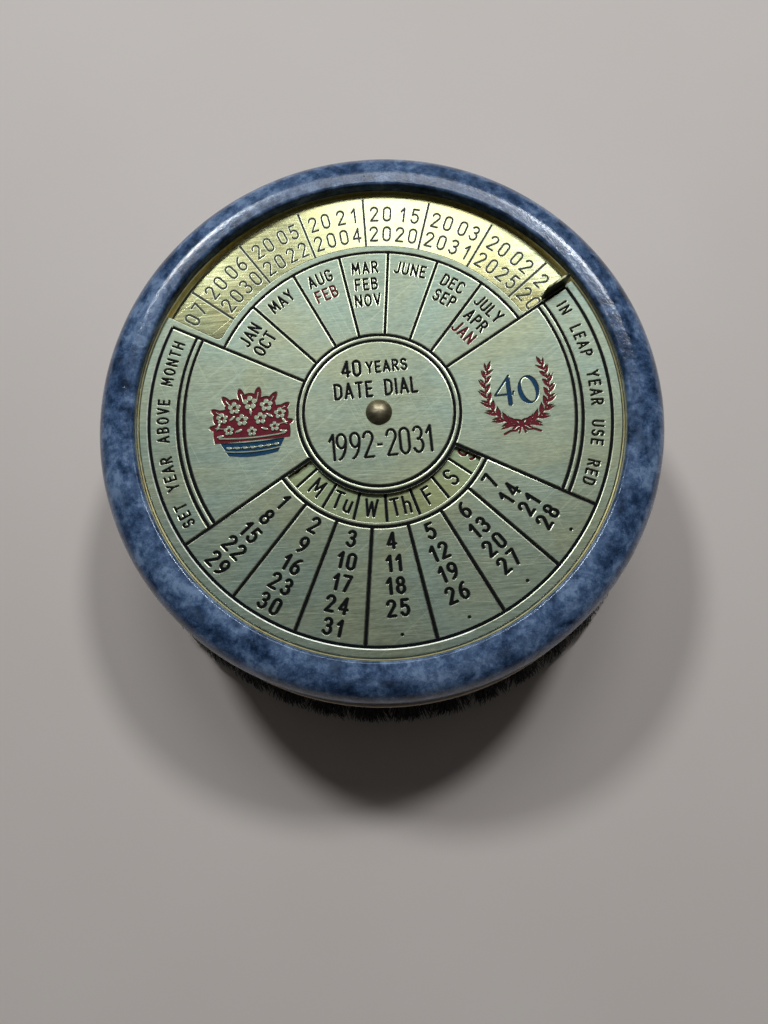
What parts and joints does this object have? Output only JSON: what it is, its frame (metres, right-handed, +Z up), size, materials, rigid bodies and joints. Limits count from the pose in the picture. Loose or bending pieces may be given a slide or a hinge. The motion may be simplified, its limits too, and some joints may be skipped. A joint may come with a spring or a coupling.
{
  "type": "perpetual desk calendar",
  "caption": "Round stone desk calendar with a brass face plate, a turning year and weekday disc with a thumb tab, and a brush base.",
  "frame": {"origin": "middle of the underside, on the desk", "axes": "+Z up out of the dial, +Y towards the months and years at the top of the dial, +X to the right"},
  "size_m": [0.0924, 0.0924, 0.0311],
  "materials": {
    "stone": "polished",
    "brass_face": "brushed, lines filled with black, red and blue paint",
    "brass_disc": "brushed, lines filled with dark paint",
    "brass_rivet": "satin",
    "steel": "plain",
    "fibre": "matte",
    "glue": "matte",
    "board": "satin",
    "bristle": "matte"
  },
  "bodies": {
    "base": {"marble_body": "stone", "board_adhesive": "glue", "brush_board": "board", "bristle_tufts": "bristle", "unit_adhesive": "glue", "back_plate": "brass_disc", "friction_washer": "fibre", "spacer_bush": "steel", "face_plate": "brass_face", "centre_rivet": "brass_rivet", "rivet_washer": "steel"},
    "disc": {"year_disc": "brass_disc"}
  },
  "joints": [
    {"name": "year_disc_turn", "type": "hinge", "parent": "base", "child": "disc", "pos_m": [0, 0, 0.0279], "axis": [0, 0, 1], "range_deg": [0, 117.5]}
  ]
}
